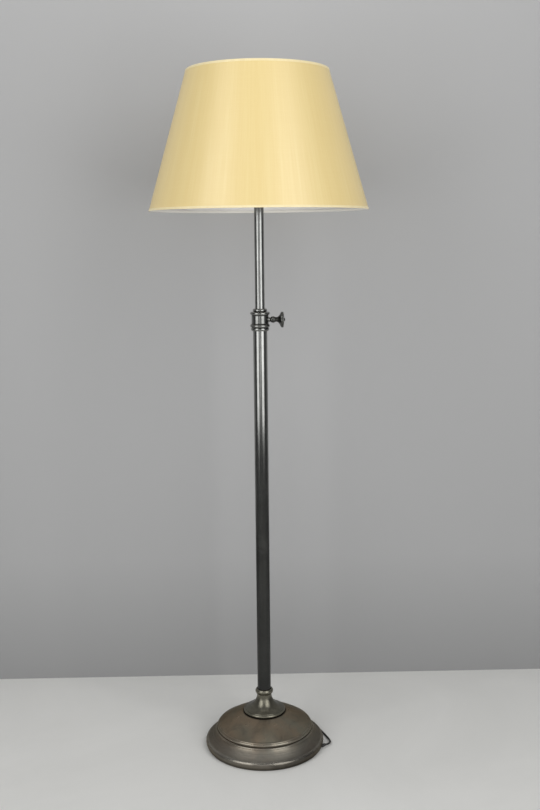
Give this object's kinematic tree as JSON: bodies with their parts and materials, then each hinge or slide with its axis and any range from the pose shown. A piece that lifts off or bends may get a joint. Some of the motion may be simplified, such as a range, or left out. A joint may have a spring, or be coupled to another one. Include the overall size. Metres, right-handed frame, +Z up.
{
  "type": "telescopic floor lamp",
  "caption": "Floor lamp with a stepped round base, a telescopic pole with a side thumb screw, and a tapered fabric shade on a harp with a socket, pull-up sleeves and a supply cord.",
  "frame": {"origin": "on the floor under the middle of the base, which is the middle of the bottom of the object's box without the cord", "axes": "+Z up along the pole; +X to the side where the thumb screw and the cord's exit are; +Y to the back, away from the switch key"},
  "size_m": [0.4981, 0.4982, 1.6],
  "materials": {
    "bronze": "dark worn bronze patina, satin",
    "gunmetal": "dark antique steel, satin",
    "iron": "rough cast, unpainted",
    "felt": "needled felt",
    "zinc_steel": "zinc plated",
    "wire": "white coated wire",
    "brass": "lacquered, satin",
    "phenolic": "moulded, glossy",
    "fibre": "waxed fibre board",
    "contact": "bare",
    "lamp_metal": "bright",
    "opal_glass": "opal white",
    "silk": "golden slub silk, matt",
    "styrene": "white, smooth",
    "braid": "narrow woven tape",
    "cord": "black, flexible",
    "plug": "black, moulded"
  },
  "bodies": {
    "base": {"felt_pad": "felt", "base_shell": "bronze", "base_weight": "iron", "stem_pipe": "zinc_steel", "stem_washer": "zinc_steel", "stem_nut": "zinc_steel", "neck_bell": "bronze", "neck_ring": "gunmetal", "tube_plug": "zinc_steel", "lower_tube": "gunmetal", "collar_body": "gunmetal", "guide_bush": "brass", "gland_cap": "gunmetal", "strain_relief": "plug", "base_lead": "cord", "slack_lead": "cord", "cord_run": "cord", "cord_coil": "cord", "cord_tail": "cord", "plug_body": "plug", "plug_blades": "contact"},
    "shoe": {"clamp_shoe": "brass"},
    "knob": {"thumb_screw": "gunmetal"},
    "stem": {"upper_tube": "gunmetal", "stop_bush": "brass", "stem_cap": "gunmetal", "stem_lead": "cord", "socket_nipple": "zinc_steel", "harp_saddle": "brass", "harp": "brass", "harp_stud": "brass", "socket_cap": "brass", "socket_shell": "brass", "socket_liner": "fibre", "socket_core": "phenolic", "screw_shell": "contact", "centre_contact": "contact", "bulb_cap": "lamp_metal", "bulb_glass": "opal_glass"},
    "sleeve_right": {"harp_sleeve_right": "brass"},
    "sleeve_left": {"harp_sleeve_left": "brass"},
    "switch": {"switch_key": "phenolic"},
    "shade": {"shade_fabric": "silk", "shade_lining": "styrene", "bottom_trim": "braid", "top_trim": "braid", "bottom_ring": "wire", "top_ring": "wire", "spider": "wire"},
    "finial": {"finial": "brass"}
  },
  "joints": [
    {"name": "height_slide", "type": "slide", "parent": "base", "child": "stem", "axis": [0, 0, 1], "range_m": [-0.23, 0.14], "deforming": ["slack_lead"]},
    {"name": "shoe_travel", "type": "slide", "parent": "base", "child": "shoe", "axis": [1, 0, 0], "range_m": [0, 0.002]},
    {"name": "knob_turn", "type": "hinge", "parent": "shoe", "child": "knob", "pos_m": [0, 0, 1.046], "axis": [1, 0, 0], "range_deg": [0, 720]},
    {"name": "shade_turn", "type": "hinge", "parent": "stem", "child": "shade", "pos_m": [0, 0, 1.57], "axis": [0, 0, 1], "continuous": true},
    {"name": "finial_turn", "type": "hinge", "parent": "stem", "child": "finial", "pos_m": [0, 0, 1.5716], "axis": [0, 0, 1], "continuous": true},
    {"name": "switch_turn", "type": "hinge", "parent": "stem", "child": "switch", "pos_m": [0, 0, 1.343], "axis": [0, -1, 0], "continuous": true},
    {"name": "sleeve_right_lift", "type": "slide", "parent": "stem", "child": "sleeve_right", "axis": [0, 0, 1], "range_m": [0, 0.016]},
    {"name": "sleeve_left_lift", "type": "slide", "parent": "stem", "child": "sleeve_left", "axis": [0, 0, 1], "range_m": [0, 0.016]}
  ],
  "couplings": [
    {"joint": "shoe_travel", "follows": "knob_turn", "m_per_rad": 0.00015915}
  ]
}
